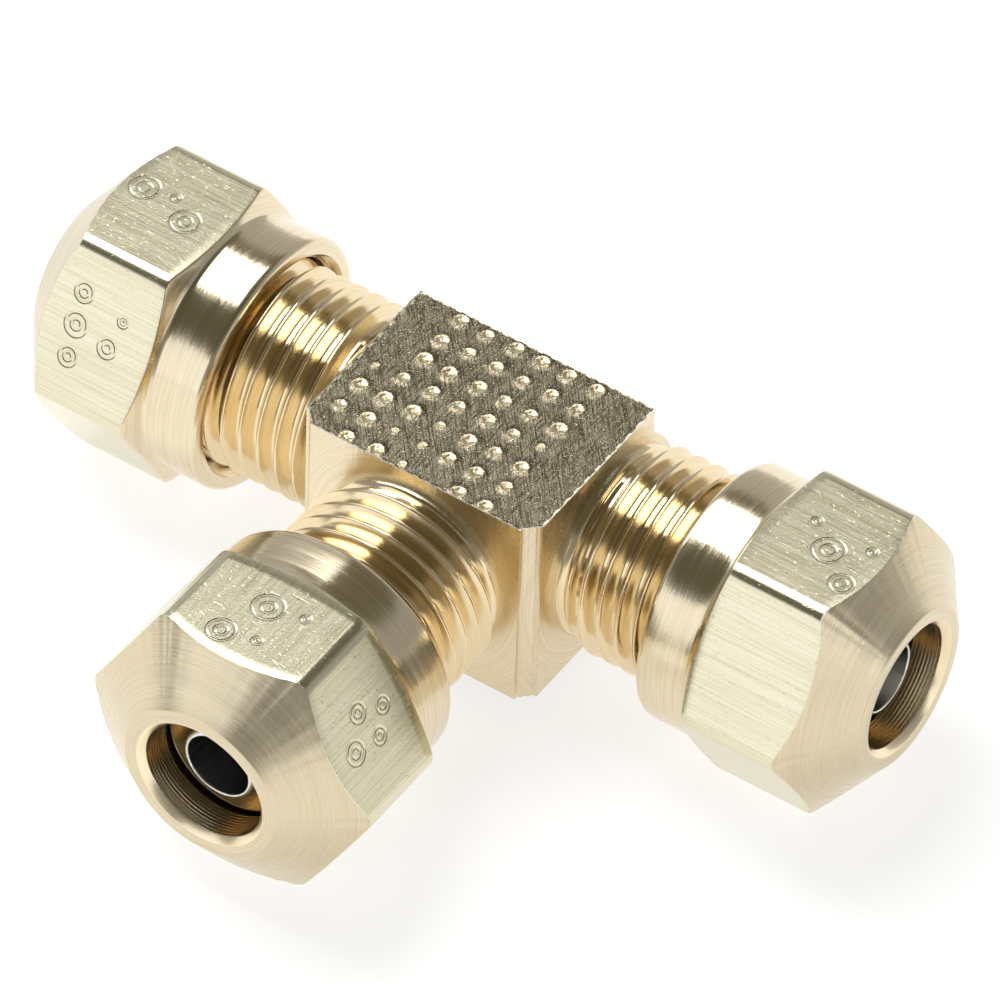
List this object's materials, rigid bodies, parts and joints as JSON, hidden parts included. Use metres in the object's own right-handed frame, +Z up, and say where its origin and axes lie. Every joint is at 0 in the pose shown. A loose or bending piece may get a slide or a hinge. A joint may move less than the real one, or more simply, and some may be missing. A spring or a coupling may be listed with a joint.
{
  "type": "compression fitting",
  "caption": "Brass union tee for nylon tube: a threaded body with a hex nut, sleeve and tube support on each arm.",
  "frame": {"origin": "on the underside of the block, straight below the crossing of the arm axes (5.97 mm below it)", "axes": "+X along the run to the right-hand nut, -Y along the branch arm, +Z up out of the dimpled block face"},
  "size_m": [0.0489, 0.033, 0.0143],
  "materials": {
    "body_brass": "machined, sawn block faces",
    "nut_brass": "drawn flats, turned cone and collar",
    "sleeve_brass": "turned",
    "support_metal": "bright drawn tube"
  },
  "bodies": {
    "tee": {"tee_body": "body_brass", "tube_support_right": "support_metal", "tube_support_branch": "support_metal", "tube_support_left": "support_metal"},
    "sleeve_right": {"sleeve_right": "sleeve_brass"},
    "nut_right": {"nut_right": "nut_brass"},
    "sleeve_branch": {"sleeve_branch": "sleeve_brass"},
    "nut_branch": {"nut_branch": "nut_brass"},
    "sleeve_left": {"sleeve_left": "sleeve_brass"},
    "nut_left": {"nut_left": "nut_brass"}
  },
  "joints": [
    {"name": "sleeve_right_slide", "type": "slide", "parent": "tee", "child": "sleeve_right", "axis": [1, 0, 0], "range_m": [-0.0003, 0.0032]},
    {"name": "nut_right_screw", "type": "hinge", "parent": "sleeve_right", "child": "nut_right", "pos_m": [0.0128, 0, 0.00597], "axis": [1, 0, 0], "range_deg": [-90, 1080]},
    {"name": "sleeve_branch_slide", "type": "slide", "parent": "tee", "child": "sleeve_branch", "axis": [0, -1, 0], "range_m": [-0.0003, 0.0032]},
    {"name": "nut_branch_screw", "type": "hinge", "parent": "sleeve_branch", "child": "nut_branch", "pos_m": [0, -0.0135, 0.00597], "axis": [0, -1, 0], "range_deg": [-90, 1080]},
    {"name": "sleeve_left_slide", "type": "slide", "parent": "tee", "child": "sleeve_left", "axis": [-1, 0, 0], "range_m": [-0.0003, 0.0032]},
    {"name": "nut_left_screw", "type": "hinge", "parent": "sleeve_left", "child": "nut_left", "pos_m": [-0.0131, 0, 0.00597], "axis": [-1, 0, 0], "range_deg": [-90, 1080]}
  ],
  "couplings": [
    {"joint": "sleeve_right_slide", "follows": "nut_right_screw", "m_per_rad": 0.00016844},
    {"joint": "sleeve_branch_slide", "follows": "nut_branch_screw", "m_per_rad": 0.00016844},
    {"joint": "sleeve_left_slide", "follows": "nut_left_screw", "m_per_rad": 0.00016844}
  ]
}
